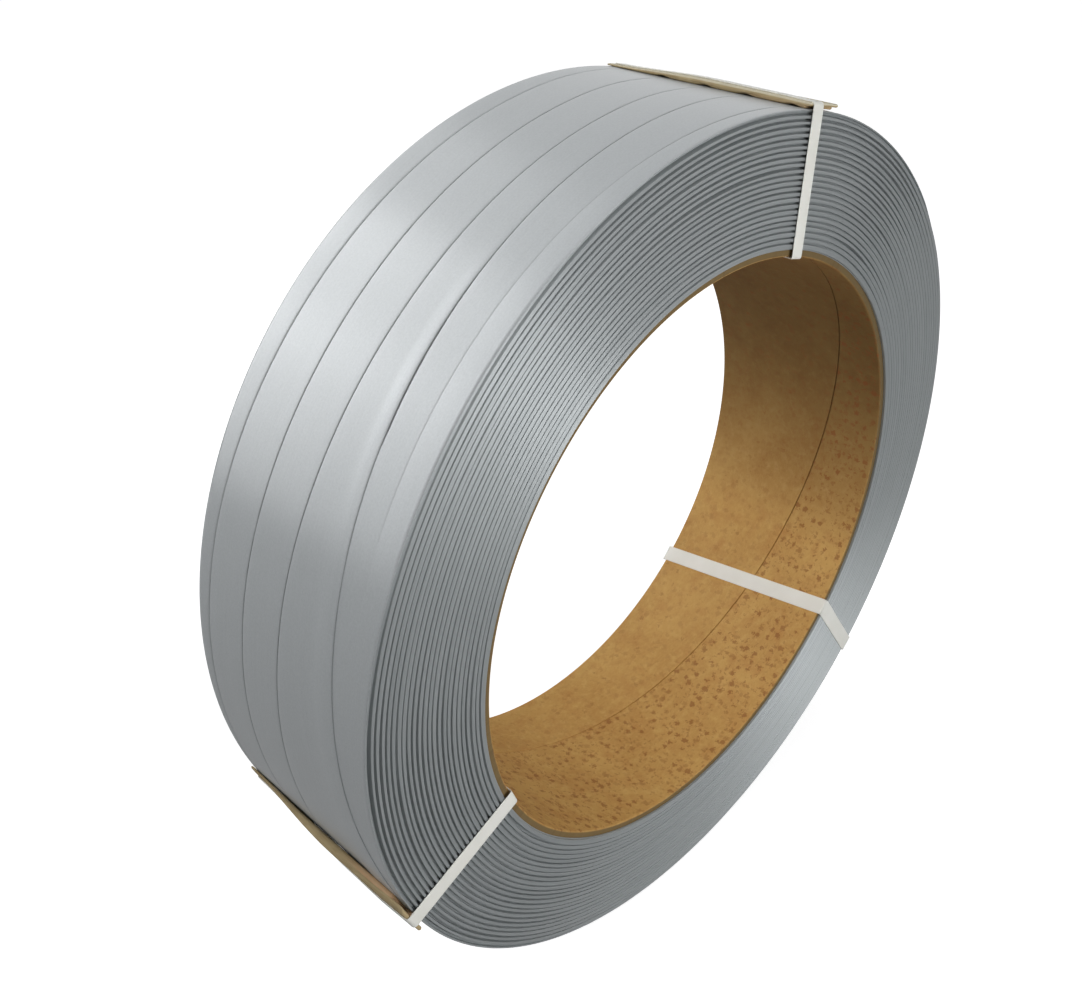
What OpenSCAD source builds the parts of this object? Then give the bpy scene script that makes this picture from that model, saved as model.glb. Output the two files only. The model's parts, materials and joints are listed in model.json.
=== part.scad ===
// Coil of flat polyester strapping, wound on a spiral paperboard core and
// tied with three binding bands, two of them over cardboard edge protectors.
// Millimetres. The coil is turned about its axis, with its ends at plus and
// minus half its width, and then set down as it is stored.

/* [Core] */
// Radius of the core's bore, which a dispenser's hub goes into
core_bore_r = 203; // [190:0.5:215]
// Thickness of the core's paperboard wall
core_wall = 6; // [3:0.5:12]

/* [Winding] */
// Width of the core and of the winding on it
coil_w = 152; // [100:1:220]
// Build of the winding, from the core out to its last layer
build = 80; // [40:1:140]
// Turns that show as ridges on each end
turns = 23; // [10:1:40]
// Depth of the gap between two turns, on the ends
turn_gap_d = 1; // [0.3:0.1:1.5]
// Width of the gap between two turns, at its mouth
turn_gap_w = 1.2; // [0.4:0.1:1.4]
// Pitch of the straps that lie side by side in the last layer
strap_pitch = 32.5; // [15:0.5:50]
// Distance from the far end to the first seam between two straps
first_seam = 16.5; // [3:0.5:50]
// Depth of the seam between two straps
seam_d = 0.5; // [0.2:0.1:1.2]
// Width of the seam between two straps, at its mouth
seam_w = 1; // [0.4:0.1:2]

/* [Edge protectors] */
// Thickness of one ply of an edge protector's cardboard
ply_t = 2.5; // [1:0.1:5]
// Width of an edge protector, around the coil
protector_w = 30; // [20:1:60]
// Length by which the inner ply stops short, on protectors 1 and 2
inner_ply_short = [4, 20]; // [0:1:40]

/* [Binding bands] */
// Width of a binding band
band_w = 12; // [6:0.5:19]
// Thickness of a binding band
band_t = 0.7; // [0.4:0.1:0.9]
// Places of bands 1 to 3 around the coil, in degrees from +X
band_angles = [78, 203, 320]; // [0:1:359]

/* [Hidden] */
$fn = 240;
core_r = core_bore_r + core_wall;
outer_r = core_r + build;
protector_r = outer_r + 2 * ply_t;
turn_pitch = build / turns;
seam_count = floor((coil_w - first_seam - seam_w) / strap_pitch) + 1;
// Long enough to cut through the whole coil
through = 2 * (protector_r + coil_w);
// Radius that a band lies on: an edge protector's, or the last layer's
function band_seat_r(i) = i < len(inner_ply_short) ? protector_r : outer_r;

// Stands the turned coil on its rim, with its near end facing -Y.
module stored() translate([0, 0, outer_r]) rotate([90, 0, 0]) children();

// A straight-sided slice of what is turned, wide across the radius at angle.
module slice(angle, width)
  rotate([0, 0, angle])
    intersection() {
      rotate_extrude() children();
      translate([0, -width / 2, -through / 2]) cube([through, width, through]);
    }

// The V of one gap between turns, cut into the near end at radius r.
module turn_gap(r)
  polygon([[r - turn_gap_w / 2, coil_w / 2], [r, coil_w / 2 - turn_gap_d],
           [r + turn_gap_w / 2, coil_w / 2], [r, coil_w / 2 + turn_gap_d]]);

// The V of one seam between straps, cut into the last layer at height z.
module seam(z)
  polygon([[outer_r, z - seam_w / 2], [outer_r + seam_d, z],
           [outer_r, z + seam_w / 2], [outer_r - seam_d, z]]);

module core()
  color("peru")
    rotate_extrude()
      translate([core_bore_r, -coil_w / 2]) square([core_wall, coil_w]);

module wound_strap()
  color("lightslategray")
    rotate_extrude()
      difference() {
        translate([core_r, -coil_w / 2]) square([build, coil_w]);
        for (end = [0, 1], i = [1:turns - 1])
          mirror([0, end]) turn_gap(core_r + i * turn_pitch);
        for (i = [0:seam_count - 1])
          seam(first_seam + i * strap_pitch - coil_w / 2);
      }

// Folded cardboard: the outer ply runs the coil's whole width, and the inner
// ply, against the winding, ends in a round fold short of the near end.
module edge_protector(i)
  color("tan")
    slice(band_angles[i], protector_w) {
      translate([outer_r + ply_t, -coil_w / 2]) square([ply_t, coil_w]);
      translate([outer_r, -coil_w / 2])
        square([ply_t, coil_w - inner_ply_short[i] - ply_t / 2]);
      translate([outer_r + ply_t / 2, coil_w / 2 - inner_ply_short[i] - ply_t / 2])
        circle(d = ply_t, $fn = 24);
    }

// A closed loop round the coil's section: along the bore, over both ends and
// over the edge protector where there is one.
module binding_band(i)
  color("whitesmoke")
    slice(band_angles[i], band_w)
      difference() {
        translate([core_bore_r - band_t, -coil_w / 2 - band_t])
          square([band_seat_r(i) - core_bore_r + 2 * band_t, coil_w + 2 * band_t]);
        translate([core_bore_r, -coil_w / 2])
          square([band_seat_r(i) - core_bore_r, coil_w]);
      }

stored() core();
stored() wound_strap();
stored() edge_protector(0);  // edge_protector_1
stored() edge_protector(1);  // edge_protector_2
stored() binding_band(0);  // binding_band_1
stored() binding_band(1);  // binding_band_2
stored() binding_band(2);  // binding_band_3
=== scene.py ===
"""The looks of a coil of flat polyester strapping on a paperboard core, tied with three bands.

Metres and radians, apart from names that end in _deg. A place on the coil is given by its angle round the
axis, from +X towards +Z, its radius, and its width: the distance along the axis from the coil's middle
towards the near end, which faces -Y.
"""
import json
import math
from collections import namedtuple

import bmesh
import bpy
import numpy as np
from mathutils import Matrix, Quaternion, Vector


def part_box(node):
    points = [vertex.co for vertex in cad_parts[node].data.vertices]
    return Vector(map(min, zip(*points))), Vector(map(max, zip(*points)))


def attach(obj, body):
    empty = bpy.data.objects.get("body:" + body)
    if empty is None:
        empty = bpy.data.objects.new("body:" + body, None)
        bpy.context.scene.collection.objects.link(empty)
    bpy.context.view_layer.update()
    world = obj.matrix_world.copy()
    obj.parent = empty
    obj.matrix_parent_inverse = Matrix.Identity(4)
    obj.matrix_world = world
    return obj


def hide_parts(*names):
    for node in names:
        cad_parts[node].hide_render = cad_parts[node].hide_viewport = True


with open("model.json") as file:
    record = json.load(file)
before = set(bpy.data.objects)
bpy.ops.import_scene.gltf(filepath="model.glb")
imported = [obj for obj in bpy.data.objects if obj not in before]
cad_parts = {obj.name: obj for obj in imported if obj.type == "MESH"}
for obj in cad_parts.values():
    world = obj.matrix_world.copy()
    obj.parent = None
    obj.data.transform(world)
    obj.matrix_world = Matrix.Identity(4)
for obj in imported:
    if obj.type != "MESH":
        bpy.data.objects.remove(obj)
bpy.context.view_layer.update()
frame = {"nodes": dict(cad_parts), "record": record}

MM = 0.001
TURN = 2 * math.pi
BODY = "root"

# ---- sizes, from the frame

bore = next(m for m in frame["record"]["mounts"] if m["name"] == "core_bore")
centre_z = bore["pos_m"][2]
bore_r = bore["dims"]["r_mm"] * MM
half_w = bore["dims"]["length_mm"] * MM / 2


def coil_coords(node):
    """The angle, radius and width of every vertex of a CAD node."""
    co = np.array([v.co for v in frame["nodes"][node].data.vertices])
    x, z = co[:, 0], co[:, 2] - centre_z
    return np.arctan2(z, x), np.hypot(x, z), -co[:, 1]


def middle_angle(node):
    angle, radius, _ = coil_coords(node)
    return math.atan2((radius * np.sin(angle)).mean(), (radius * np.cos(angle)).mean())


def width_across(node):
    """Width of a node that lies across its middle angle."""
    angle, radius, _ = coil_coords(node)
    return np.ptp(radius * np.sin(angle - middle_angle(node)))


def distinct(values, step=0.2 * MM):
    """The values without their repeats, in order."""
    return np.unique(np.round(values / step).astype(int)) * step


def cut_into(values, surface, reach):
    """Which values lie in the cuts into a surface, no more than reach below it."""
    return (values < surface - 0.2 * MM) & (values > surface - reach)


core_r = coil_coords("core")[1].max()
_, strap_radii, strap_widths = coil_coords("wound_strap")
outer_r = strap_radii.max()
in_seam = cut_into(strap_radii, outer_r, 1 * MM) & (abs(strap_widths) < half_w - 2 * MM)
in_gap = cut_into(abs(strap_widths), half_w, 3 * MM) & (strap_radii < outer_r - 2 * MM)
seams = distinct(strap_widths[in_seam])
turns = len(distinct(strap_radii[in_gap])) + 1

protector_r = coil_coords("edge_protector_1")[1].max()
protector_w = width_across("edge_protector_1")
ply_t = (protector_r - outer_r) / 2

band_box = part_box("binding_band_1")
band_t = (band_box[1].y - band_box[0].y) / 2 - half_w
band_w = width_across("binding_band_1")
band_angles = [middle_angle(f"binding_band_{i}") for i in (1, 2, 3)]

# The strap, and the gap between two turns side by side
strap_t = 0.9 * MM
seam_gap = 0.25 * MM
strap_pitch = (seams[3] - seams[0]) / 3
strap_w = strap_pitch - seam_gap
# Radius under the last layer, with room for it to cross over itself, and of the wound body below
layer_r = outer_r - 2 * strap_t
body_r = layer_r - 0.1 * MM
# How far the outside reaches, inside the turns on the ends
rim_w = half_w - 1.2 * MM

# ---- meshes

RING_STEPS = 360
ring_angles = np.linspace(0, TURN, RING_STEPS, endpoint=False)
ring_deg = np.degrees(ring_angles)


def coil_point(angle, radius, width):
    """Points in the row frame, from arrays of angles, radii and widths."""
    angle, radius, width = np.broadcast_arrays(angle, radius, width)
    return np.stack([radius * np.cos(angle), -width, centre_z + radius * np.sin(angle)], -1)


def ripple(angle, key, waves=7):
    """A smooth variation, about -1 to 1, that closes on itself round the coil."""
    rng = np.random.default_rng(key)
    phases = rng.uniform(0, TURN, waves)
    heights = rng.uniform(0.4, 1, waves) / np.sqrt(np.arange(1, waves + 1))
    total = sum(h * np.cos((n + 1) * angle + p) for n, (h, p) in enumerate(zip(heights, phases)))
    return total / heights.sum() * 1.6


def smooth(value):
    """0 to 1 with a soft start and end."""
    value = np.clip(value, 0, 1)
    return value * value * (3 - 2 * value)


def rise(value, start, length):
    """Climbs softly from 0 at start to 1 at start + length."""
    return smooth((value - start) / length)


def plateau(value, start, climb, stop, fall):
    """Climbs softly from 0 to 1 from start on, and falls back to 0 from stop on."""
    return rise(value, start, climb) * (1 - rise(value, stop, fall))


def add_object(name, data):
    added = bpy.data.objects.new(name, data)
    bpy.context.scene.collection.objects.link(added)
    return added


def grid_mesh(name, points, uv, close_rows=False, sharp_deg=50):
    """A closed piece from a grid of points, smooth but for its sharp edges.

    Its columns close. uv has one column more than points, and one row more where the rows close too. Where
    they don't, each end gets a flat cap.
    """
    rows, cols = points.shape[:2]
    i, j = np.meshgrid(np.arange(rows - (not close_rows)), np.arange(cols), indexing="ij")
    corners = [(i, j), (i + 1, j), (i + 1, j + 1), (i, j + 1)]
    faces = np.stack([(a % rows) * cols + b % cols for a, b in corners], -1).reshape(-1, 4).tolist()
    face_uv = np.stack([uv[a, b] for a, b in corners], -2).reshape(-1, 2)
    if not close_rows:
        faces += [list(range(cols))[::-1], [(rows - 1) * cols + c for c in range(cols)]]
        face_uv = np.concatenate([face_uv, uv[0, :cols][::-1], uv[-1, :cols]])
    mesh = bpy.data.meshes.new(name)
    mesh.from_pydata(points.reshape(-1, 3).tolist(), [], faces)
    mesh.uv_layers.new(name="UVMap").data.foreach_set("uv", face_uv.ravel())
    work = bmesh.new()
    work.from_mesh(mesh)
    bmesh.ops.recalc_face_normals(work, faces=work.faces)
    work.to_mesh(mesh)
    work.free()
    mesh.polygons.foreach_set("use_smooth", [True] * len(mesh.polygons))
    mesh.set_sharp_from_angle(angle=math.radians(sharp_deg))
    return add_object(name, mesh)


def mark(piece, name, values):
    """Stores a number for each of a piece's points, for its material."""
    piece.data.attributes.new(name, "FLOAT", "POINT").data.foreach_set("value", values.ravel())


def unit(vectors):
    return vectors / np.linalg.norm(vectors, axis=1, keepdims=True)


def arc_lengths(points):
    """Distance run along a path to each of its points."""
    steps = np.linalg.norm(np.diff(points, axis=0), axis=-1)
    return np.concatenate([[0], np.cumsum(steps)])


def lathe(name, radius, width, sharp_deg=50, zero=0):
    """A closed ring. radius and width have a row for each step and a column for each outline point.

    Its UV is in metres: round the coil, and along the outline from its column zero on. Before that column
    it is the first row's, and so runs straight round the coil.
    """
    points = coil_point(ring_angles[:, None], radius, width)
    outline = np.stack([radius, width], -1)
    outline = np.concatenate([outline, outline[:, :1]], 1)
    steps = np.linalg.norm(np.diff(outline, axis=1), axis=-1)
    steps[:, :zero] = steps[0, :zero]
    v = np.concatenate([np.zeros((RING_STEPS, 1)), np.cumsum(steps, 1)], 1)
    v = v - v[:, zero:zero + 1]
    v = np.concatenate([v, v[:1]])
    u = np.append(ring_angles, TURN) * outer_r
    uv = np.stack([np.broadcast_to(u[:, None], v.shape), v], -1)
    return grid_mesh(name, points, uv, close_rows=True, sharp_deg=sharp_deg)


def columns(*values):
    """Outline points side by side, each one number or one for each step of the ring."""
    return np.stack([np.broadcast_to(v, (RING_STEPS,)) for v in values], -1)


# ---- the last layer's course

# Progress is in degrees of winding, against the angle, and passes protector 2 just before 0. The strap comes
# from under its own crossing, hugs the near rim and crosses over itself, and lies side by side from then on.
# Pairs of progress and the near edge's width in millimetres:
COURSE_START_DEG = -430
FIRST_TURN = [
    (-430, 74.7), (-395, 74.4), (-375, 71.5), (-360, 68.5), (-350, 66.6), (-343, 65), (-333, 62), (-325, 60),
    (-312, 58.3), (-300, 58), (-288, 58.5), (-275, 59.8), (-265, 61.7), (-255, 63), (-240, 64.5), (-220, 69),
    (-195, 74.7), (-12, 74.7), (-6, 73.5), (0, 69.5), (7.5, 62.5), (10, 59.6), (16, 54.8), (25, 49.7),
    (35, 45.2), (45, 41), (55, 37.9), (65, 35.9), (75, 35), (85, 34.3), (95, 34), (105, 33), (115, 31),
    (140, 34)]
FIRST_TURN_END_DEG = 115
# Offset of the turns that lie side by side, against progress within the turn
WAVER = [(0, -10), (10, -9), (20, -7), (30, -4.8), (40, -3.2), (50, -1.3), (60, 0.4), (70, 1.6), (80, 1.9),
         (90, 1.8), (100, 1.2), (110, -1.6), (120, -3), (145, -2), (300, -2), (360, -10)]
# Width of the crease where the crossing climbs onto the turn below
CREASE = [(-3, 38), (0, 37), (17, 34), (27, 31), (35, 28.5), (48, 26.6), (62, 26), (90, 26)]
CREASE_W = 8 * MM
# Where each later turn starts to step over by one strap, and the degrees that it takes
STEP_START_DEG = 129
STEP_DEG = 225
COURSE_END_DEG = 3 * 360 - 3
# Where the crossing's far part ends, under protector 2
CUT_DEG = -3
crossing_angle = band_angles[1] + math.radians(CUT_DEG)
# The two stages in which the first turn's seam opens: start, length and share
OPENING = [(-325, 20, 0.25), (-285, 40, 0.75)]
# Plateaus: where the far edge shows, on a turn and on the first one, and where the strap lies over itself
SHOWS = (-40, 30, 125, 20)
FIRST_SHOWS = (-322, 20, -240, 20)
LIES_OVER = (-110, 30, 62, 20)
# How deep the strap starts, in its thicknesses, how high it crosses, the degrees over which it comes up at
# its start, and where its last turn climbs
SUNK = 1.15
CROSSING_RISE = 0.55
SUNK_DEG = 30
LAST_CLIMB = (919, 40)
COURSE_STEP_DEG = 0.5
# Degrees over which the first turn passes into the others
BLEND_DEG = 25
# Points averaged over, to round the edge's knots off
AVERAGED = 15


def knots(pairs, progress_deg):
    return np.interp(progress_deg, *np.array(pairs).T)


def make_course():
    """Progress and near edge of the strap along its course, and on for one turn."""
    progress_deg = np.arange(COURSE_START_DEG, COURSE_END_DEG + 361, COURSE_STEP_DEG)
    turn = np.floor((progress_deg - STEP_START_DEG) / 360)
    step = rise(progress_deg - 360 * turn, STEP_START_DEG, STEP_DEG)
    beside = seams[3] - strap_pitch * (turn + step) + knots(WAVER, progress_deg % 360) * MM
    share = rise(progress_deg, FIRST_TURN_END_DEG, BLEND_DEG)
    edge = knots(FIRST_TURN, progress_deg) * MM * (1 - share) + beside * share
    edge = np.convolve(np.pad(edge, AVERAGED // 2, mode="edge"), np.ones(AVERAGED) / AVERAGED, "valid")
    held = np.maximum(edge, strap_w - rim_w)
    return progress_deg, np.where(progress_deg < COURSE_END_DEG, held, edge)


COURSE = make_course()


def near_edge(progress_deg):
    return np.interp(progress_deg, *COURSE)


def openness(progress_deg):
    """How open the seam at the strap's near edge is: the first turn's is closed up to the crossing."""
    return sum(share * rise(progress_deg, start, length) for start, length, share in OPENING)


def far_edge(progress_deg):
    """The strap keeps its width where it is hidden, and lies against the next turn where it shows."""
    alone = near_edge(progress_deg) - strap_w
    beside = near_edge(progress_deg + 360) + seam_gap * openness(progress_deg + 360)
    within = (progress_deg - SHOWS[0]) % 360 + SHOWS[0]
    share = np.where(progress_deg < CUT_DEG, plateau(progress_deg, *FIRST_SHOWS), plateau(within, *SHOWS))
    return np.maximum(alone * (1 - share) + beside * share, -rim_w)


def level(progress_deg, width):
    """How many straps high it lies over the layers below: it starts sunk in, and climbs over itself."""
    sunk = -SUNK * (1 - rise(progress_deg, COURSE_START_DEG, SUNK_DEG))
    climbed = rise(width, knots(CREASE, progress_deg) * MM, CREASE_W)
    over = plateau(progress_deg, *LIES_OVER) * np.where(progress_deg < CUT_DEG, 1, climbed)
    return sunk + CROSSING_RISE * over + rise(progress_deg, *LAST_CLIMB)


def progress_at(angle, first_deg):
    """The progress at an angle, within the turn that starts at first_deg."""
    progress_deg = np.degrees(crossing_angle - angle)
    return first_deg + (progress_deg - first_deg) % 360


RIBBON_STEP_DEG = 0.75
# Millimetres in from an edge, and down there
SHOULDER = [(0, 0.32), (0.2, 0.17), (0.5, 0.07), (1.2, 0.025), (4, 0.0)]
# Points between the shoulders
FLAT_POINTS = 11
# The underside's bevelled edges and height, and how far the strap is let into what it lies on
BEVEL = 0.3 * MM
UNDERSIDE_H = 0.05 * MM
LET_IN = 0.03 * MM


def last_layer():
    """The strap on the outside: one ribbon, with soft shoulders along its edges."""
    progress_deg = np.arange(COURSE_START_DEG, COURSE_END_DEG, RIBBON_STEP_DEG)[:, None]
    near, far = near_edge(progress_deg), far_edge(progress_deg)
    inset, drop = np.array(SHOULDER).T * MM
    inner = np.linspace(0, 1, FLAT_POINTS + 2)[1:-1]
    first, last = near - inset[-1], far + inset[-1]
    top_w = np.concatenate([near - inset, first + (last - first) * inner, far + inset[::-1]], 1)
    near_drop = drop * openness(progress_deg)
    far_drop = drop[::-1] * openness(progress_deg + 360)
    no_drop = np.zeros((len(progress_deg), FLAT_POINTS))
    top_h = strap_t - np.concatenate([near_drop, no_drop, far_drop], 1)
    low_w = np.concatenate([far, far + BEVEL, near - BEVEL, near], 1)
    low_h = np.array([BEVEL, UNDERSIDE_H, UNDERSIDE_H, BEVEL]) + 0 * low_w
    width = np.concatenate([top_w, low_w], 1)
    height = np.concatenate([top_h, low_h], 1)
    radius = layer_r + level(progress_deg, width) * strap_t + height - LET_IN
    points = coil_point(crossing_angle - np.radians(progress_deg), radius, width)
    u = np.radians(progress_deg) * outer_r
    v = near - np.concatenate([width, width[:, :1]], 1)
    uv = np.stack(np.broadcast_arrays(u, v), -1)
    piece = grid_mesh("last_layer", points, uv, sharp_deg=60)
    # Painted shade in the seams: 1 on the edges and underside, 0 over the top face, and at the near edge as
    # open as its seam is
    shade = np.ones(points.shape[:2])
    shade[:, 0] = openness(progress_deg)[:, 0]
    shade[:, 1:top_w.shape[1] - 1] = 0
    mark(piece, "seam_shade", shade)
    return piece


# ---- the wound body

# Pairs of degrees round the coil and how slack the turns lie there, from 0, pressed together, to 1
SLACK = [(0, 0.08), (35, 0.1), (45, 0.35), (55, 0.9), (65, 1), (100, 1), (115, 0.8), (125, 0.6), (140, 0.45),
         (152, 0.32), (162, 0.3), (170, 0.5), (180, 0.95), (190, 1), (215, 1), (227, 0.85), (238, 0.4),
         (250, 0.22), (265, 0.14), (290, 0.08), (330, 0.06), (360, 0.08)]
# Factor on the slackness of the gaps, from the core's to the rim's
SLACK_OUT = (0.75, 1.2)
# Turns that gape more: end, turn, middle and reach in degrees, and how much slacker they are
GAPES = [(1, 3, 58, 14), (1, 1, 214, 16), (1, 14, 95, 20), (2, 5, 120, 20), (2, 17, 300, 25)]
GAPE = 0.7
# A pressed gap, what slackness adds, and the most: half its width as a share of the pitch, and its depth in
# millimetres. The gap at the rim is deeper
GAP_SHARE, SLACK_SHARE, MOST_SHARE = 0.05, 0.185, 0.34
GAP_DEPTH, SLACK_DEPTH, MOST_SLACK = 0.12, 2.5, 1.4
RIM_GAP_DEPTH, RIM_SLACK_DEPTH = 0.9, 1.6
# Width of the gap at the rim
LAST_GROOVE = 1.3 * MM
# How far the first turn leans in over the core's end, and how far down that end lies
OVERHANG = 1.3 * MM
CORE_RECESS = 2.2 * MM
turn_pitch = (layer_r - LAST_GROOVE - core_r) / turns
# How far the turns' edges bulge and their radii waver
TURN_CROWN = 0.35 * MM
TURN_WAVER = 0.25 * MM


def slackness(end, rng):
    """Slackness of an end's gaps: a row for each angle and a column for each gap."""
    shifts = rng.uniform(-5, 5, turns + 1)
    strengths = rng.uniform(0.85, 1.1, turns + 1) * np.linspace(*SLACK_OUT, turns + 1)
    slack = np.stack([np.interp((ring_deg + shift) % 360, *np.array(SLACK).T) * strength
                      for shift, strength in zip(shifts, strengths)], -1)
    for which, turn, middle_deg, reach_deg in GAPES:
        if which == end:
            away = abs((ring_deg - middle_deg + 180) % 360 - 180)
            slack[:, turn] += GAPE * (1 - smooth(away / reach_deg))
    return slack


def turn_ends(end):
    """The turns that show on an end: radius, and height over the end, with a column for each point."""
    rng = np.random.default_rng(40 + end)
    settled = rng.uniform(0.05, 0.55, turns)
    slack = slackness(end, rng)
    groove = np.minimum(GAP_SHARE + SLACK_SHARE * slack, MOST_SHARE)
    depth = (GAP_DEPTH + SLACK_DEPTH * np.minimum(slack, MOST_SLACK)) * MM
    depth[:, 0] = np.minimum(depth[:, 0], CORE_RECESS - 0.7 * MM)
    low_r = core_r + np.arange(turns + 1) * turn_pitch + np.zeros((RING_STEPS, 1))
    low_r[:, 0] = core_r - OVERHANG
    for k in range(1, turns):
        low_r[:, k] += TURN_WAVER * ripple(ring_angles, 100 * end + 50 + k)
    radius, height = [], []
    for k in range(turns):
        low, pitch = low_r[:, k], low_r[:, k + 1] - low_r[:, k]
        loose = np.clip((slack[:, k] + slack[:, k + 1]) / 2, 0, 1)
        # Pressed turns lie level and flat. Loose ones settle at their own heights and bulge
        settle = settled[k] + 0.12 * ripple(ring_angles, 100 * end + k)
        top = -(0.05 + settle * (0.15 + 0.85 * loose)) * MM
        crown = TURN_CROWN * (0.12 + 0.88 * loose)
        start, stop = groove[:, k], 1 - groove[:, k + 1]
        shape = [(0 * start, -depth[:, k]), (0.7 * start, -depth[:, k])]
        shape += [(start + (stop - start) * t, None) for t in (0, 0.25, 0.5, 0.75, 1)]
        shape += [(1 - 0.7 * groove[:, k + 1], -depth[:, k + 1])]
        for t, floor in shape:
            radius.append(low + pitch * t)
            height.append(top + (-crown * (2 * t - 1) ** 2 if floor is None else floor))
    deep = -(RIM_GAP_DEPTH + RIM_SLACK_DEPTH * slack[:, -1]) * MM
    radius += [low_r[:, -1], np.full(RING_STEPS, body_r - 0.05 * MM)]
    height += [deep, deep]
    return np.stack(radius, -1), np.stack(height, -1)


def room_for_strap(edge):
    """0 where there is no room for a strap between the rim and an edge, and 1 where there is."""
    return smooth((rim_w - edge - 0.6 * MM) / (1.2 * MM))


def rim_strip(edge, present, open_share):
    """Outline of the strap that lies at a rim, in to its edge: as thick as present says."""
    top = body_r + present * (layer_r - body_r + strap_t)
    edge = np.minimum(edge, rim_w - 2.2 * MM)
    soft = 0.3 * MM * present * open_share
    radius = columns(body_r, top - 0.25 * MM * present, top, top, top, top - 0.3 * soft, top - soft, body_r)
    inner = edge + 1.5 * MM * open_share + 0.1 * MM
    width = columns(rim_w, rim_w, rim_w - 0.3 * MM, np.maximum(rim_w - 2 * MM, inner), inner,
                    edge + 0.5 * MM * open_share + 0.05 * MM, edge, edge - 0.02 * MM)
    return radius, width


# Seams of the layer below, which show at the near rim: widths, waver, half their breadth and depth
LOWER_SEAMS = [20 * MM, -11 * MM]
LOWER_WAVER = 2.5 * MM
LOWER_HALF = 0.6 * MM
LOWER_DEPTH = 0.5 * MM


def wound_half(name, end, sign, strip, lines):
    """One end of the wound body, from the split between the halves out to its rim, mirrored by sign.

    lines are the seams of the layer below the last.
    """
    face_r, face_h = turn_ends(end)
    strip_r, strip_w = strip
    line_r, line_w = [], []
    for width in lines:
        line = width + LOWER_WAVER * ripple(ring_angles, 7 + end, 3)
        line_r += [body_r, body_r - LOWER_DEPTH, body_r]
        line_w += [line + LOWER_HALF, line, line - LOWER_HALF]
    split = sign * (seams[0] + strap_pitch / 2)
    shelf_w = half_w - CORE_RECESS + 0.2 * MM
    start_r = columns(core_r, core_r, core_r - OVERHANG)
    start_w = columns(split, shelf_w, shelf_w)
    end_r = columns(*line_r, body_r)
    end_w = columns(*line_w, split)
    radius = np.concatenate([start_r, face_r, strip_r, end_r], 1)
    width = np.concatenate([start_w, half_w + face_h, strip_w, end_w], 1)
    rim_column = start_r.shape[1] + face_r.shape[1]
    piece = lathe(name, radius, sign * width, zero=rim_column)
    # Past the side of the strap at the rim comes the second look, of the strap's flat face
    flat_face = np.arange(radius.shape[1]) > rim_column
    piece.data.polygons.foreach_set("material_index", np.tile(flat_face, RING_STEPS).astype("i4"))
    return piece


def near_turns():
    progress_deg = progress_at(ring_angles, COURSE_START_DEG)
    open_share = openness(progress_deg)
    edge = near_edge(progress_deg) + seam_gap * open_share
    present = room_for_strap(edge) * rise(progress_deg, COURSE_START_DEG, 12)
    return wound_half("near_turns", 1, 1, rim_strip(edge, present, open_share), LOWER_SEAMS)


def far_turns():
    progress_deg = progress_at(ring_angles, COURSE_END_DEG - 360)
    edge = seam_gap - far_edge(progress_deg)
    return wound_half("far_turns", 2, -1, rim_strip(edge, room_for_strap(edge), 1), [])


# ---- the core

# Wear of each end's inner edge: its size, and its shape as shares of that, in from the end and up
CORE_WEAR = 1.5 * MM
WORN = [(0, 1), (0.04, 0.72), (0.15, 0.42), (0.4, 0.14), (1, 0)]
# Bevel of the outer edges
CORE_LIP = 0.8 * MM
# The joint of the core's inner ply: its width at an angle, its rise for each degree, its gap, and its depth,
# which is greatest at another angle
JOINT_AT_DEG = 250
JOINT_W = -24.5 * MM
JOINT_RISE = 0.48 * MM
JOINT_GAP = 1.1 * MM
JOINT_DEPTH = 0.7 * MM
JOINT_DEEPEST_DEG = 30


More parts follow.
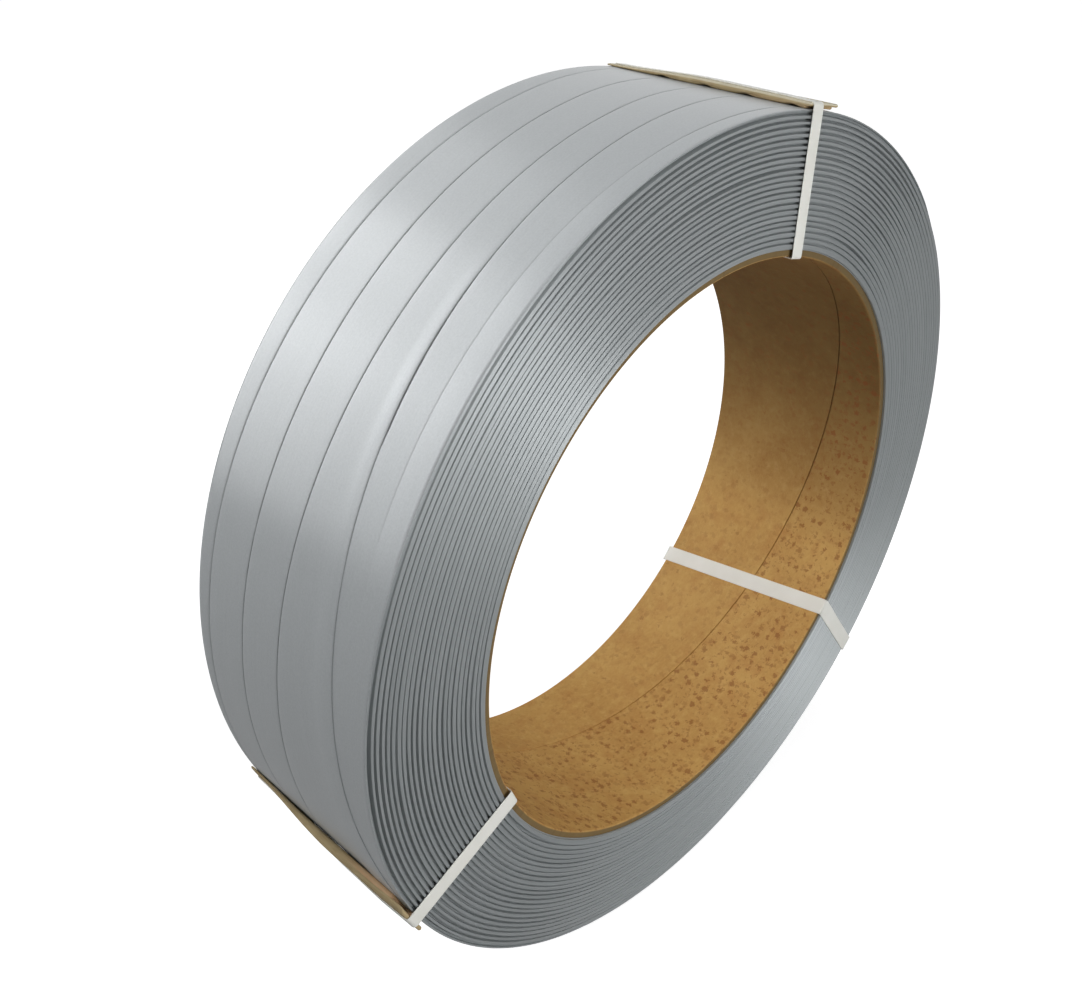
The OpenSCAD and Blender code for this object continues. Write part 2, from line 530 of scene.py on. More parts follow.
def core():
    """The paperboard tube. The joint of its inner ply runs round the bore as a helix."""
    end_w = half_w - CORE_RECESS
    turn_on = (ring_deg - JOINT_AT_DEG + (end_w + JOINT_W) / JOINT_RISE) % 360
    joint = -end_w + JOINT_RISE * turn_on
    # Past the end the joint isn't there, and its points go back to where they start
    cross_deg = 2 * end_w / JOINT_RISE
    back = (turn_on - cross_deg) / (360 - cross_deg)
    shown = joint < end_w
    joint = np.where(shown, joint, end_w - 2 * end_w * smooth(back))
    limit = end_w - CORE_WEAR - 3 * MM
    depth = JOINT_DEPTH * smooth((limit + 2 * MM - abs(joint)) / (2 * MM)) * shown
    depth = depth * (0.75 + 0.4 * np.cos(ring_angles - math.radians(JOINT_DEEPEST_DEG)))
    joint = np.clip(joint, -limit, limit)
    inner_r = bore_r + 0.1 * MM + 0.12 * MM * np.maximum(ripple(ring_angles, 5), 0)
    outer = core_r - 0.25 * MM
    worn_in, worn_up = (np.array(WORN) * CORE_WEAR).T[:, :, None]
    shares = (0.25, 0.5, 0.75)
    near_w = [joint + (end_w - CORE_WEAR - joint) * f for f in shares]
    far_w = [-end_w + CORE_WEAR + (joint + end_w - CORE_WEAR) * f for f in shares]
    joint_w = [joint - JOINT_GAP / 2 - 0.6 * MM, joint - JOINT_GAP / 2, joint - 0.3 * JOINT_GAP,
               joint + 0.3 * JOINT_GAP, joint + JOINT_GAP / 2, joint + 2 * MM]
    joint_r = [inner_r, inner_r, inner_r + depth, inner_r + depth, inner_r, inner_r]
    plain_r = [inner_r] * len(shares)
    width = columns(*(end_w - worn_in[::-1]), end_w, end_w - CORE_LIP, CORE_LIP - end_w, -end_w,
                    *(worn_in - end_w), *far_w, *joint_w, *near_w)
    radius = columns(*(inner_r + worn_up[::-1]), outer - CORE_LIP, outer, outer, outer - CORE_LIP,
                     *(inner_r + worn_up), *plain_r, *joint_r, *plain_r)
    piece = lathe("paperboard_core", radius, width, sharp_deg=40)
    # 1 on the near side of the joint and 0 past it, for the board's chips
    mark(piece, "near_side", (width > joint[:, None]) * 1.0)
    # Painted shade on the core's recessed ends: 1 there, fading out over the worn inner edge to 0 on the
    # bore
    mark(piece, "end_shade", smooth((radius - bore_r - 0.3 * CORE_WEAR) / (0.6 * CORE_WEAR)))
    return piece


# ---- edge protectors

PLY_ROWS = 91
# Each protector in millimetres: its thickness, whole and at its pressed far end, and the length between;
# the lift of its edge that shows, halfway, and of its hidden corner; at its near end, how far its plies
# part, the inner one stops short, it lies above the layer below and its outer ply bends down; and how deep
# seams print into it. Then, as plain numbers: the inner ply's share of the thickness, how clean its near
# end is, how much painted highlight its outer face gets, and where the edge that shows lies, 1 where angles
# grow
Board = namedtuple("Board", "whole_t far_t ramp lift corner parted short above bend print_h "
                            "inner_share clean pale side")
BOARDS = {1: Board(4.1, 1.3, 76, 0.0, 0.7, 0.05, 4, 0.1, 0.3, 1.1, 0.5, 0.3, 1, 1),
          2: Board(5.8, 1.6, 95, 1.7, 0.0, 0.12, 11, 0.3, 0.9, 0.0, 0.55, 1, 0, -1)}
# How far a protector lies above the layer below elsewhere
SEATED = 0.1 * MM
# Half the width of the print that a seam leaves
PRINT_W = 4 * MM


def board_top(board, width):
    """Thickness of both plies together: they are pressed flat at the far end."""
    far_t, whole_t = board.far_t * MM, board.whole_t * MM
    return far_t + (whole_t - far_t) * rise(width, -half_w, board.ramp * MM)


def board_base(board, width, side):
    """Radius of a protector's inner face, at a width and a distance from its band."""
    bow = np.cos(np.clip((width + 8 * MM) / half_w, -1, 1) * math.pi / 2) ** 2
    lifted = board.lift * MM * bow * np.clip(2 * side / protector_w, 0, 1) ** 1.5
    lifted = lifted + (board.above * MM - SEATED) * rise(width, 20 * MM, 24 * MM)
    return outer_r - strap_t + SEATED + lifted


def board_bend(board, width):
    """How far its band pulls the outer ply down, near the near end."""
    return board.bend * MM * rise(width, 46 * MM, 30 * MM)


def seam_prints(number, width):
    """1 where a seam of the strap runs under a protector, falling off to 0 beside it."""
    turn_deg = math.degrees(crossing_angle - band_angles[number - 1])
    away = width + 2 * MM - near_edge(turn_deg + 360 * np.arange(4))
    return np.exp(-(away / PRINT_W) ** 2).sum(1, keepdims=True)


def ply(name, number, share, near_end, is_outer):
    """One ply, between two shares of the board's thickness. Its long edge that shows is rounded."""
    board = BOARDS[number]
    # The near end is a fold: the width runs on by half a ply, as the thickness closes
    fold = np.linspace(0.12, 1, 7) * math.pi / 2
    far_end = -half_w - 0.3 * MM
    width = np.concatenate([np.linspace(far_end, near_end, PLY_ROWS), near_end + ply_t / 2 * np.sin(fold)])
    scale = np.concatenate([np.ones(PLY_ROWS), np.cos(fold) * 0.97 + 0.03])
    width = width[:, None]
    # The outline across the ply: distance from the band, and height as a share, rounded where it shows
    half = protector_w / 2
    bend = np.linspace(0, 1, 6) * math.pi / 2
    side = np.concatenate([[-half, -half + 0.3 * MM, -half / 2, 0, half / 2],
                           half - 2.4 * MM * (1 - np.sin(bend)),
                           [half - 0.3 * MM, half / 2, 0, -half / 2, -half + 0.3 * MM, -half]])
    tall = np.concatenate([[0.85, 1, 1, 1, 1], np.cos(bend), [0, 0, 0, 0, 0, 0.15]])
    if not is_outer:
        tall = 1 - tall
    thick = board_top(board, width)
    parted = board.parted * MM * rise(width, 25 * MM, 35 * MM) + 0.01 * MM
    low = thick * share[0] + (parted / 2 if is_outer else 0)
    high = thick * share[1] - (0 if is_outer else parted / 2)
    middle = (low + high) / 2
    height = middle + (low + (high - low) * tall - middle) * scale[:, None]
    corner = smooth((width / half_w - 0.3) / 0.7) * smooth((0.1 - side / protector_w) / 0.6)
    if not is_outer:
        showing = smooth(2 * side / half - 0.8)
        height = height + board.print_h * MM * seam_prints(number, width) * (1 - tall) * showing
    height = height + board.corner * MM * corner
    if is_outer:
        height = height - board_bend(board, width)
    radius = board_base(board, width, side) + height
    ragged = 0.2 * MM * ripple(width * 40 + share[0], 60 + number)
    angle = band_angles[number - 1] + board.side * (side + ragged * np.sign(side)) / radius
    points = coil_point(angle, radius, width)
    v = arc_lengths(np.stack([np.append(side, side[0]), np.append(tall, tall[0]) * ply_t], -1))
    uv = np.stack(np.meshgrid(width[:, 0], v, indexing="ij"), -1)
    piece = grid_mesh(name, points, uv, sharp_deg=45)
    clean = rise(width, 15 * MM, 35 * MM) * board.clean * (not is_outer)
    mark(piece, "clean_card", np.broadcast_to(clean, points.shape[:2]))
    # Painted highlight: the outer ply's outer face is made pale where light from above falls, on the
    # protectors marked so.
    pale = smooth((tall - 0.25) / 0.5) * board.pale * is_outer
    mark(piece, "top_highlight", np.broadcast_to(pale, points.shape[:2]))
    return piece


def join(name, pieces):
    """One piece from several, with each part still closed."""
    work = bmesh.new()
    for piece in pieces:
        work.from_mesh(piece.data)
        bpy.data.objects.remove(piece)
    mesh = bpy.data.meshes.new(name)
    work.to_mesh(mesh)
    work.free()
    return add_object(name, mesh)


def edge_protector(number):
    """Two plies of cardboard: the inner one stops short of the near end in a round fold."""
    board = BOARDS[number]
    split = board.inner_share
    inner = ply("inner", number, (0, split), half_w - board.short * MM - ply_t / 2, False)
    outer = ply("outer", number, (split, 1), half_w - ply_t / 2 - 0.3 * MM, True)
    return join(f"cardboard_protector_{number}", [inner, outer])


# ---- binding bands

# Degrees past each band's angle of its corners: at the bore's near edge, both rims and the bore's far edge
SKEW_DEG = [(-2.2, 1.4, 0.5, -1.5), (-0.9, 0.3, 0.4, -0.6), (1.3, -2.8, -1.5, -4.2)]
CORNER_STEPS = 7
SIDE_STEPS = (16, 40, 16, 24)
BAND_WIDTHS = [0.86 * band_w, 1.04 * band_w, 1.06 * band_w]
# Radius of a band's bends, and of its bend at the near rim
BEND_R = 1.3 * MM
RIM_BEND_R = [2.2 * MM, 2.2 * MM, 1.6 * MM]
# Width over which band 3 climbs onto the strap's last turn
SEAT_CLIMB = 8.5 * MM


def straight_angle(t, first, last):
    """The angle at a share of a straight run between two corners, each a radius and an angle."""
    ends = np.array([[r * math.cos(a), r * math.sin(a)] for r, a in (first, last)])
    x, z = ends[0] + (ends[1] - ends[0]) * t
    return math.atan2(z, x)


def band_seat(number, width):
    """Radius that a band lies on over the coil's outside: its protector, or the strap with its last turn."""
    if number in BOARDS:
        board = BOARDS[number]
        return board_base(board, width, 0) + board_top(board, width) - board_bend(board, width)
    edge = near_edge(progress_at(band_angles[number - 1], COURSE_END_DEG - 360))
    return outer_r - strap_t * (1 - smooth((edge + SEAT_CLIMB - width) / SEAT_CLIMB)) + 0.05 * MM


def band_loop(number):
    """The loop's middle line: radius, width and angle of each point."""
    low_r = bore_r - band_t / 2
    side_w = half_w + band_t / 2 - 0.04 * MM
    reach = half_w - 0.3 * MM
    near_r, far_r = [band_seat(number, w) + band_t / 2 for w in (reach, -reach)]
    angles = band_angles[number - 1] + np.radians(SKEW_DEG[number - 1])
    corners = [(low_r, side_w, BEND_R), (near_r, side_w, RIM_BEND_R[number - 1]),
               (far_r, -side_w, BEND_R), (low_r, -side_w, BEND_R)]
    ways = np.array([(1, 0), (0, -1), (-1, 0), (0, 1)])
    path = []
    for k, (r, w, turn_r) in enumerate(corners):
        next_r, next_w, next_turn = corners[(k + 1) % 4]
        here, into, out = np.array([r, w]), ways[k - 1], ways[k]
        for t in np.linspace(0, 1, CORNER_STEPS):
            a = t * math.pi / 2
            place = here + turn_r * (out - into) - turn_r * out * math.cos(a) + turn_r * into * math.sin(a)
            path.append((*place, angles[k]))
        first, last = here + turn_r * out, np.array([next_r, next_w]) - next_turn * out
        next_angle = angles[(k + 1) % 4]
        for t in np.linspace(0, 1, SIDE_STEPS[k] + 2)[1:-1]:
            radius, width = first + (last - first) * t
            angle = angles[k] + (next_angle - angles[k]) * t
            if k == 1:
                radius = band_seat(number, width) + band_t / 2
            if k % 2 == 0:
                angle = straight_angle(t, (r, angles[k]), (next_r, next_angle))
            path.append((radius, width, angle))
    return np.array(path)


def binding_band(number):
    """A flat band round the coil's section: straight over the ends, with a soft bend at each corner."""
    path = band_loop(number)
    middle = coil_point(path[:, 2], path[:, 0], path[:, 1])
    along = unit(np.roll(middle, -1, 0) - np.roll(middle, 1, 0))
    flow = unit(np.roll(path[:, :2], -1, 0) - np.roll(path[:, :2], 1, 0))
    radial = coil_point(path[:, 2], 1, 0) - coil_point(path[:, 2], 0, 0)
    axial = np.array([0, -1.0, 0])
    out = flow[:, :1] * axial - flow[:, 1:] * radial
    across = unit(np.cross(along, out))
    half, thick = BAND_WIDTHS[number - 1] / 2, band_t / 2
    # The section: distance across the band, and height as a share of half its thickness
    ring = [(half, -0.4), (half, 0.4), (half - 0.2 * MM, 0.9), (half - 0.8 * MM, 1), (0, 1.0),
            (-half + 0.8 * MM, 1), (-half + 0.2 * MM, 0.9), (-half, 0.4), (-half, -0.4),
            (-half + 0.3 * MM, -1), (half - 0.3 * MM, -1)]
    points = np.stack([middle + across * s + out * thick * t for s, t in ring], 1)
    run = arc_lengths(np.concatenate([middle, middle[:1]]))
    v = np.append([s for s, _ in ring], ring[0][0])
    uv = np.stack(np.meshgrid(run, v, indexing="ij"), -1)
    return grid_mesh(f"white_band_{number}", points, uv, close_rows=True, sharp_deg=60)


# ---- materials


def material(name):
    """A new material, its node tree and its shader."""
    made = bpy.data.materials.new(name)
    made.use_nodes = True
    shader = made.node_tree.nodes["Principled BSDF"]
    return made, made.node_tree, shader


def feed(tree, socket, value):
    """Links a socket to another, or sets it to a number or a colour."""
    if isinstance(value, bpy.types.NodeSocket):
        tree.links.new(value, socket)
    elif socket.type == "RGBA" and len(value) == 3:
        socket.default_value = (*value, 1)
    else:
        socket.default_value = value


def give(tree, node, **inputs):
    """Feeds a node's inputs, by name: numbers, colours or other nodes' sockets."""
    for key, value in inputs.items():
        feed(tree, node.inputs[key.replace("_", " ")], value)


def put(tree, kind, settings=None, **inputs):
    """Adds a node."""
    made = tree.nodes.new("ShaderNode" + kind)
    for key, value in (settings or {}).items():
        setattr(made, key, value)
    give(tree, made, **inputs)
    return made


def attribute(tree, name):
    """The number that mark stored under a name."""
    return put(tree, "Attribute", {"attribute_name": name}).outputs["Fac"]


def maths(tree, operation, *values):
    made = put(tree, "Math", {"operation": operation})
    for socket, value in zip(made.inputs, values):
        feed(tree, socket, value)
    return made.outputs[0]


def times(tree, first, second):
    return maths(tree, "MULTIPLY", first, second)


def vector_maths(tree, operation, *values):
    made = put(tree, "VectorMath", {"operation": operation})
    for socket, value in zip(made.inputs, values):
        feed(tree, socket, value)
    return made.outputs["Value" if operation in ("LENGTH", "DOT_PRODUCT") else "Vector"]


def mix(tree, share, first, second):
    """A colour between two, by share."""
    made = put(tree, "Mix", {"data_type": "RGBA"})
    for place, value in ((0, share), (6, first), (7, second)):
        feed(tree, made.inputs[place], value)
    return made.outputs[2]


def tint(tree, colour, other, share, most):
    """A colour with another mixed in by share, up to most."""
    return mix(tree, times(tree, share, most), colour, other)


def remap(tree, value, low, high, to_low=0.0, to_high=1.0):
    made = put(tree, "MapRange", Value=value, From_Min=low, From_Max=high, To_Min=to_low, To_Max=to_high)
    return made.outputs["Result"]


def noise(tree, vector, scale, detail=2.0, rough=0.5):
    made = put(tree, "TexNoise", Vector=vector, Scale=scale, Detail=detail, Roughness=rough)
    return made.outputs["Fac"]


def streaks(tree, flat, along, across, detail=2.0, rough=0.5):
    """Noise on a flat surface, with its own scale each way."""
    return noise(tree, vector_maths(tree, "MULTIPLY", flat, (along, across, 0)), 1.0, detail, rough)


def spread(tree):
    """A piece's texture coordinates in metres: in the row frame, and its UV."""
    made = put(tree, "TexCoord")
    return made.outputs["Object"], made.outputs["UV"]


def from_axis(tree, place):
    """The distance from the coil's axis."""
    split = put(tree, "SeparateXYZ", Vector=place)
    height = maths(tree, "SUBTRACT", split.outputs["Z"], centre_z)
    flat = put(tree, "CombineXYZ", X=split.outputs["X"], Y=0.0, Z=height).outputs[0]
    return vector_maths(tree, "LENGTH", flat)


def unrolled(tree, place):
    """The bore's surface laid flat: the distance round it and along the axis."""
    split = put(tree, "SeparateXYZ", Vector=place)
    height = maths(tree, "SUBTRACT", split.outputs["Z"], centre_z)
    angle = maths(tree, "ARCTAN2", height, split.outputs["X"])
    return put(tree, "CombineXYZ", X=times(tree, angle, bore_r), Y=split.outputs["Y"], Z=0.0).outputs[0]


def bump(tree, shader, *layers):
    """Stacks bumps on the shader's normal. Each is a height from 0 to 1 and its depth in metres."""
    normal = None
    for height, depth in layers:
        made = put(tree, "Bump", Height=height, Distance=depth, Strength=1.0)
        if normal is not None:
            tree.links.new(normal, made.inputs["Normal"])
        normal = made.outputs["Normal"]
    tree.links.new(normal, shader.inputs["Normal"])


# Scale of the strap's and the core's fine grain
GRAIN = 900.0

STRAP_DARK = (0.475, 0.505, 0.52)
STRAP_LIGHT = (0.560, 0.590, 0.605)
# The painted shade in the strap's open seams
STRAP_SEAM_SHADE = (0.24, 0.25, 0.26)
TURNS_DARK = (0.352, 0.378, 0.385)
TURNS_LIGHT = (0.400, 0.425, 0.432)


def strap_material():
    """Satin silver-grey plastic, with a fine grain, faint lines along the strap and painted shade on its
    edges in the open seams.
    """
    made, tree, shader = material("strap")
    place, uv = spread(tree)
    fine = streaks(tree, uv, along=6.0, across=1500.0, detail=3.0)
    grain = noise(tree, place, GRAIN)
    peel = streaks(tree, uv, along=560.0, across=760.0)
    tone = maths(tree, "ADD", times(tree, fine, 0.35), times(tree, grain, 0.65))
    colour = mix(tree, remap(tree, tone, 0.25, 0.75), STRAP_DARK, STRAP_LIGHT)
    # Painted shade in the open seams, on the strap's edges.
    colour = tint(tree, colour, STRAP_SEAM_SHADE, attribute(tree, "seam_shade"), 0.6)
    give(tree, shader, Base_Color=colour, Roughness=0.31, Metallic=0.08, IOR=1.5)
    bump(tree, shader, (fine, 0.0006 * MM), (peel, 0.04 * MM), (grain, 0.03 * MM))
    return made


def turns_material():
    """The straps' edges on the coil's ends: satin drawn out round the coil, which shines across it."""
    made, tree, shader = material("strap_turns")
    place, _ = spread(tree)
    split = put(tree, "SeparateXYZ", Vector=place)
    # The lines are short out from the axis, longer along it and longest round it
    out = times(tree, from_axis(tree, place), 900.0)
    onward = times(tree, maths(tree, "ADD", split.outputs["X"], split.outputs["Z"]), 5.0)
    along = times(tree, split.outputs["Y"], 60.0)
    lines = noise(tree, put(tree, "CombineXYZ", X=out, Y=onward, Z=along).outputs[0], 1.0, 3.0)
    grain = noise(tree, place, GRAIN)
    colour = mix(tree, remap(tree, lines, 0.35, 0.65), TURNS_DARK, TURNS_LIGHT)
    round_coil = put(tree, "Tangent", {"direction_type": "UV_MAP", "uv_map": "UVMap"}).outputs["Tangent"]
    give(tree, shader, Base_Color=colour, Roughness=0.5, Metallic=0.4, IOR=1.5, Anisotropic=0.95,
         Anisotropic_Rotation=0.25, Tangent=round_coil)
    bump(tree, shader, (lines, 0.02 * MM), (grain, 0.006 * MM))
    return made


BOARD_DARK = (0.54, 0.30, 0.086)
BOARD_LIGHT = (0.62, 0.365, 0.112)
BOARD_PALE = (0.70, 0.45, 0.155)
BOARD_CHIP = (0.25, 0.075, 0.02)
BOARD_RED = (0.46, 0.205, 0.055)
# Painted shade on the core's recessed ends
BOARD_END_SHADE = (0.135, 0.095, 0.04)
# How bright the board stays under the painted shade on the bore's shaded side, and that side's direction
# from the axis
PAINTED_SHADE_SHARE = 0.33
PAINTED_SHADE_SIDE = (math.cos(math.radians(30)), 0, math.sin(math.radians(30)))
# What bends the chips out of round: its scale, and its reach in metres
CHIP_BEND = 520.0
CHIP_SHIFT = 0.0075


def flecks(tree, flat, scale, size, least):
    """Irregular chips at random places. least is the share of cells left without one."""
    shift = put(tree, "TexNoise", Vector=flat, Scale=CHIP_BEND, Detail=4.0).outputs["Color"]
    bent = vector_maths(tree, "MULTIPLY_ADD", shift, (CHIP_SHIFT, CHIP_SHIFT, 0), flat)
    cells = put(tree, "TexVoronoi", {"voronoi_dimensions": "2D"}, Vector=bent, Scale=scale, Randomness=1.0)
    chosen = put(tree, "SeparateXYZ", Vector=cells.outputs["Color"])
    reach = times(tree, chosen.outputs["Y"], size)
    inside = maths(tree, "SUBTRACT", maths(tree, "ADD", reach, size * 0.6), cells.outputs["Distance"])
    shape = remap(tree, inside, -0.02, 0.08)
    there = remap(tree, chosen.outputs["X"], least, least + 0.4)
    return times(tree, shape, there)


def all_chips(tree, flat):
    """Big and small chips, most of them on the near side of the core's joint, and a few anywhere."""
    big = flecks(tree, flat, scale=125.0, size=0.22, least=0.2)
    small = flecks(tree, flat, scale=250.0, size=0.22, least=0.25)
    few = flecks(tree, flat, scale=75.0, size=0.1, least=0.4)
    both = maths(tree, "MAXIMUM", big, times(tree, small, 0.7))
    share = remap(tree, attribute(tree, "near_side"), 0.0, 1.0, 0.3, 1.0)
    return maths(tree, "MAXIMUM", times(tree, both, share), times(tree, few, 0.7))


def painted_shade_side(tree, place):
    """How far over to the bore's shaded side a place lies, from 0 to 1: the share of painted shade there."""
    toward = vector_maths(tree, "DOT_PRODUCT", place, PAINTED_SHADE_SIDE)
    reach = maths(tree, "SUBTRACT", toward, centre_z * PAINTED_SHADE_SIDE[2])
    return remap(tree, reach, 0.55 * bore_r, bore_r)


def core_material():
    """Brown paperboard: matt and clouded, with dark chips in it, painted shade on one side of the bore and
    painted shade on its recessed ends.
    """
    made, tree, shader = material("core_board")
    place, _ = spread(tree)
    flat = unrolled(tree, place)
    cloud = noise(tree, place, 18.0, 3.0)
    mottle = noise(tree, place, 150.0, 3.0, 0.6)
    fibre = streaks(tree, flat, along=300.0, across=700.0, detail=4.0, rough=0.6)
    blotch = noise(tree, place, 65.0, 5.0, 0.7)
    grain = noise(tree, place, GRAIN)
    chips = all_chips(tree, flat)
    colour = mix(tree, remap(tree, cloud, 0.35, 0.65), BOARD_DARK, BOARD_LIGHT)
    colour = tint(tree, colour, BOARD_PALE, remap(tree, mottle, 0.5, 0.75), 0.5)
    colour = tint(tree, colour, BOARD_PALE, remap(tree, fibre, 0.45, 0.75), 0.4)
    colour = tint(tree, colour, BOARD_RED, remap(tree, blotch, 0.48, 0.72), 0.5)
    # Painted shade: the board darkens towards the bore's wall at 30 degrees, which faces away from the
    # lights.
    colour = tint(tree, colour, (0, 0, 0), painted_shade_side(tree, place), 1 - PAINTED_SHADE_SHARE)
    colour = tint(tree, colour, BOARD_CHIP, chips, 0.62)
    # Painted shade on the core's recessed ends.
    colour = tint(tree, colour, BOARD_END_SHADE, attribute(tree, "end_shade"), 0.9)
    give(tree, shader, Base_Color=colour, Roughness=remap(tree, fibre, 0.3, 0.7, 0.62, 0.8),
         Specular_IOR_Level=0.3)
    bump(tree, shader, (mottle, 0.06 * MM), (fibre, 0.04 * MM), (chips, 0.05 * MM), (grain, 0.02 * MM))
    return made


CARD_DARK = (0.60, 0.37, 0.20)
CARD_LIGHT = (0.68, 0.44, 0.25)
KRAFT_DARK = (0.38, 0.28, 0.14)
KRAFT_LIGHT = (0.48, 0.37, 0.2)
KRAFT_PALE = (0.60, 0.50, 0.32)
# Painted highlight on protector 1's outer face
KRAFT_TOP_HIGHLIGHT = (0.82, 0.77, 0.60)


def protector_material():
    """Cardboard, with fibres along it, cleaner where it is marked so, and paler with a painted highlight
    where that is marked.
    """
    made, tree, shader = material("protector_board")
    place, uv = spread(tree)
    fibre = streaks(tree, uv, along=60.0, across=900.0, detail=4.0, rough=0.6)
    cloud = noise(tree, place, 60.0, 3.0)
    grain = noise(tree, place, 1100.0)
    clean = attribute(tree, "clean_card")
    dark = mix(tree, clean, KRAFT_DARK, CARD_DARK)
    light = mix(tree, clean, KRAFT_LIGHT, CARD_LIGHT)
    colour = mix(tree, remap(tree, cloud, 0.35, 0.65), dark, light)
    colour = tint(tree, colour, KRAFT_PALE, remap(tree, fibre, 0.4, 0.75), 0.5)
    # Painted highlight on the outer face.
    colour = tint(tree, colour, KRAFT_TOP_HIGHLIGHT, attribute(tree, "top_highlight"), 0.85)
    give(tree, shader, Base_Color=colour, Roughness=remap(tree, fibre, 0.3, 0.7, 0.72, 0.88),
         Specular_IOR_Level=0.25)
    bump(tree, shader, (fibre, 0.08 * MM), (grain, 0.04 * MM))
    return made


BAND_DARK = (0.87, 0.865, 0.8)
BAND_LIGHT = (0.91, 0.905, 0.85)


def band_material():
    """White polypropylene, with faint lines along it."""
    made, tree, shader = material("white_band")
    place, uv = spread(tree)
    length = streaks(tree, uv, along=12.0, across=1500.0)
    cloud = noise(tree, place, 60.0)
    grain = noise(tree, place, 1400.0)
    colour = mix(tree, remap(tree, cloud, 0.3, 0.7), BAND_DARK, BAND_LIGHT)
    give(tree, shader, Base_Color=colour, Roughness=remap(tree, length, 0.3, 0.7, 0.36, 0.5),
         Subsurface_Weight=0.06, Subsurface_Radius=(0.002, 0.002, 0.002))
    bump(tree, shader, (length, 0.03 * MM), (grain, 0.02 * MM))
    return made


# ---- the pieces


def dress(piece, looks, slot, *nodes):
    for look in looks:
        piece.data.materials.append(look)
    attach(piece, BODY)
    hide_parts(*nodes)


strap_look = strap_material()
turns_look = turns_material()
board_look = protector_material()
band_look = band_material()

dress(last_layer(), [strap_look], "strap", "wound_strap")
dress(near_turns(), [turns_look, strap_look], "strap", "wound_strap")
dress(far_turns(), [turns_look, strap_look], "strap", "wound_strap")
dress(core(), [core_material()], "core_board", "core")
for number in (1, 2):
    dress(edge_protector(number), [board_look], "protector_board", f"edge_protector_{number}")
for number in (1, 2, 3):
    dress(binding_band(number), [band_look], "band", f"binding_band_{number}")

# ---- floor, light and camera

FLOOR_SIZE = 12.0
FLOOR_TONE = 0.5
# The floor's own light, which only the camera sees: under the coil, and where it climbs to the world's
FLOOR_GLOW = 0.85
GLOW_NEAR_R = 0.35
GLOW_FAR_R = 1.1
AMBIENT = 0.01
# Lights: direction from the coil's centre, distance, size and power
LIGHTS = [
    ("top", (0, -0.03, 1), 2.6, 1.6, 8.6),
    ("back", (0, 0.766, 0.643), 2.6, 1.6, 6.8),
    ("front_left", (-0.58, -0.58, 0.57), 2.6, 1.6, 3.6),
    ("back_left", (-0.4, 0.76, 0.49), 2.4, 2.0, 12.7),
    ("back_left_high", (-0.35, 0.75, 0.56), 2.4, 1.4, 9.4),
    ("back_left_low", (-0.6, 0.7, 0.3), 2.4, 1.6, 10.5),
    ("front_low", (0.281, -0.955, -0.02), 1.2, 0.5, 2.0),
    ("front_near", (0.062, -0.984, 0.162), 1.2, 0.5, 1.3),
    ("front", (0.062, -0.984, 0.162), 2.0, 0.8, 3.9),
    ("front_high", (-0.151, -0.896, 0.415), 2.0, 0.8, 3.2),
    ("front_side", (-0.15, -0.98, 0.02), 1.2, 0.5, 1.7),
    ("front_top", (-0.333, -0.7, 0.632), 1.2, 0.5, 1.3)]
# Where the camera is from the coil's centre, where it looks, and its roll, lens in millimetres and shift
CAMERA_PLACE = (-0.516, -0.4228, 0.4351)
CAMERA_LOOK = (0.6368, 0.5658, -0.5237)
CAMERA_ROLL_DEG = 1.87
CAMERA_LENS = 37.76
CAMERA_SHIFT = (-0.0491, -0.0114)

coil_centre = Vector((0, 0, centre_z))


def mixed_shader(tree, share, first, second):
    made = put(tree, "MixShader", Fac=share)
    tree.links.new(first, made.inputs[1])
    tree.links.new(second, made.inputs[2])
    return made.outputs[0]


def behind_camera_rays(tree, lit, shown):
    """The lit shader, but the shown one to the camera, to glossy and to clear surfaces."""
    path = put(tree, "LightPath")
    seen = maths(tree, "MAXIMUM", path.outputs["Is Camera Ray"], path.outputs["Is Glossy Ray"])
    seen = maths(tree, "MAXIMUM", seen, path.outputs["Is Transmission Ray"])
    return mixed_shader(tree, seen, lit, shown)


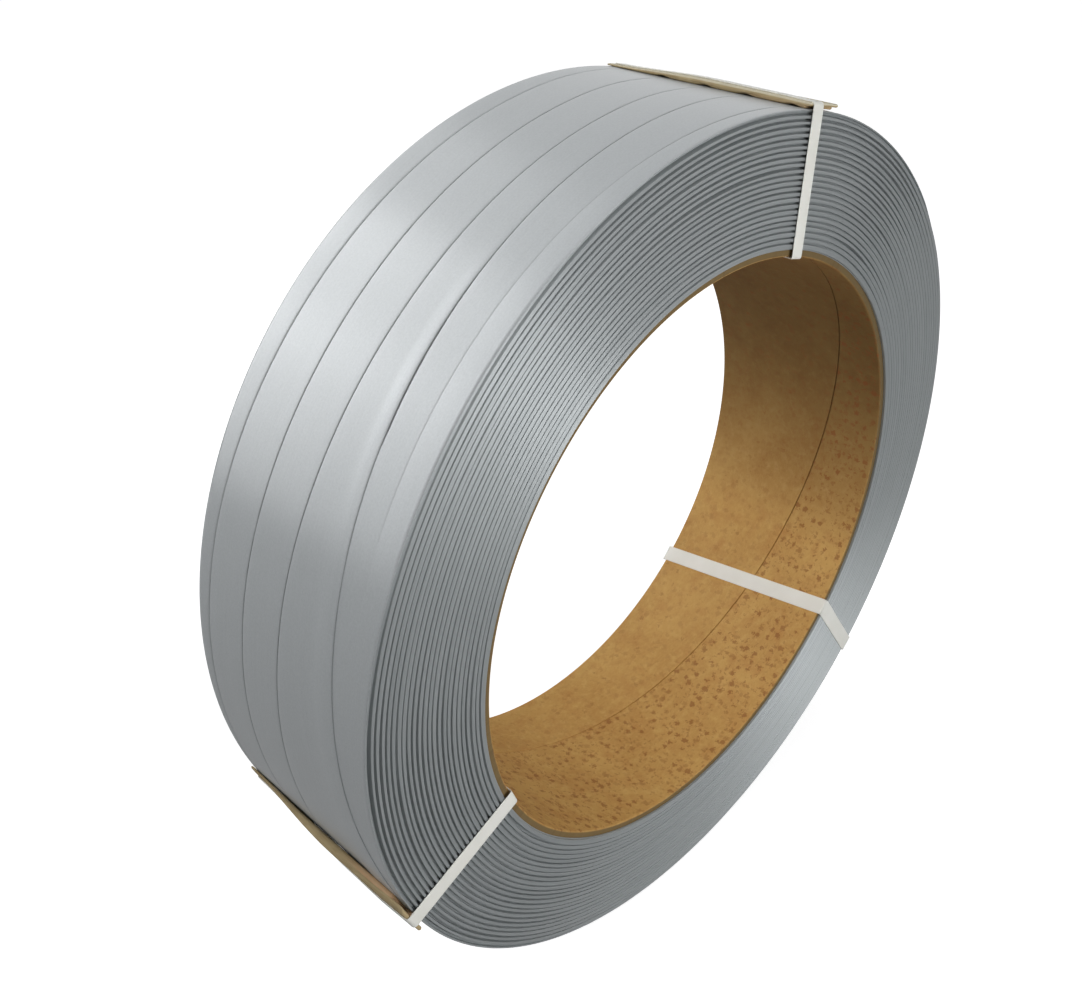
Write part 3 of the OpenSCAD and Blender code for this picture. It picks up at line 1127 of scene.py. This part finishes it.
def floor_material():
    """Pale and matt. To the camera it also glows, more so away from the coil."""
    made, tree, shader = material("floor")
    give(tree, shader, Base_Color=(FLOOR_TONE,) * 3, Roughness=0.9, Specular_IOR_Level=0.0)
    place, _ = spread(tree)
    strength = remap(tree, vector_maths(tree, "LENGTH", place), GLOW_NEAR_R, GLOW_FAR_R, FLOOR_GLOW, 1.0)
    glow = put(tree, "Emission", Color=(1, 1, 1, 1), Strength=strength)
    both = put(tree, "AddShader")
    tree.links.new(shader.outputs[0], both.inputs[0])
    tree.links.new(glow.outputs[0], both.inputs[1])
    seen = put(tree, "LightPath").outputs["Is Camera Ray"]
    surface = mixed_shader(tree, seen, shader.outputs[0], both.outputs[0])
    give(tree, tree.nodes["Material Output"], Surface=surface)
    return made


def pale_floor():
    half = FLOOR_SIZE / 2
    corners = [(-half, -half, 0), (half, -half, 0), (half, half, 0), (-half, half, 0)]
    mesh = bpy.data.meshes.new("floor")
    mesh.from_pydata(corners, [], [(0, 1, 2, 3)])
    mesh.materials.append(floor_material())
    floor = add_object("floor", mesh)


def white_world():
    world = bpy.data.worlds.new("studio")
    world.use_nodes = True
    tree = world.node_tree
    tree.nodes.clear()
    lit = put(tree, "Background", Color=(1, 1, 1, 1), Strength=AMBIENT).outputs[0]
    shown = put(tree, "Background", Color=(1, 1, 1, 1), Strength=1.0).outputs[0]
    out = put(tree, "OutputWorld")
    tree.links.new(behind_camera_rays(tree, lit, shown), out.inputs["Surface"])
    bpy.context.scene.world = world


def soft_light(name, direction, distance, size, power):
    """A round light that faces the coil's centre."""
    data = bpy.data.lights.new(name, "AREA")
    data.shape = "DISK"
    data.size = size
    data.energy = power
    lamp = add_object(name, data)
    lamp.location = coil_centre + Vector(direction).normalized() * distance
    lamp.rotation_euler = (coil_centre - lamp.location).to_track_quat("-Z", "Y").to_euler()


def photo_camera():
    """Looks down on the near end from the left."""
    data = bpy.data.cameras.new("camera")
    data.sensor_width = 36
    data.lens = CAMERA_LENS
    data.shift_x, data.shift_y = CAMERA_SHIFT
    camera = add_object("camera", data)
    x, y, z = CAMERA_PLACE
    camera.location = (x, y, centre_z + z)
    roll = Quaternion((0, 0, 1), math.radians(CAMERA_ROLL_DEG))
    camera.rotation_euler = (Vector(CAMERA_LOOK).to_track_quat("-Z", "Y") @ roll).to_euler()
    bpy.context.scene.camera = camera


pale_floor()
white_world()
for name, direction, distance, size, power in LIGHTS:
    soft_light(name, direction, distance, size, power)
photo_camera()

bpy.context.scene.view_settings.view_transform = "Standard"
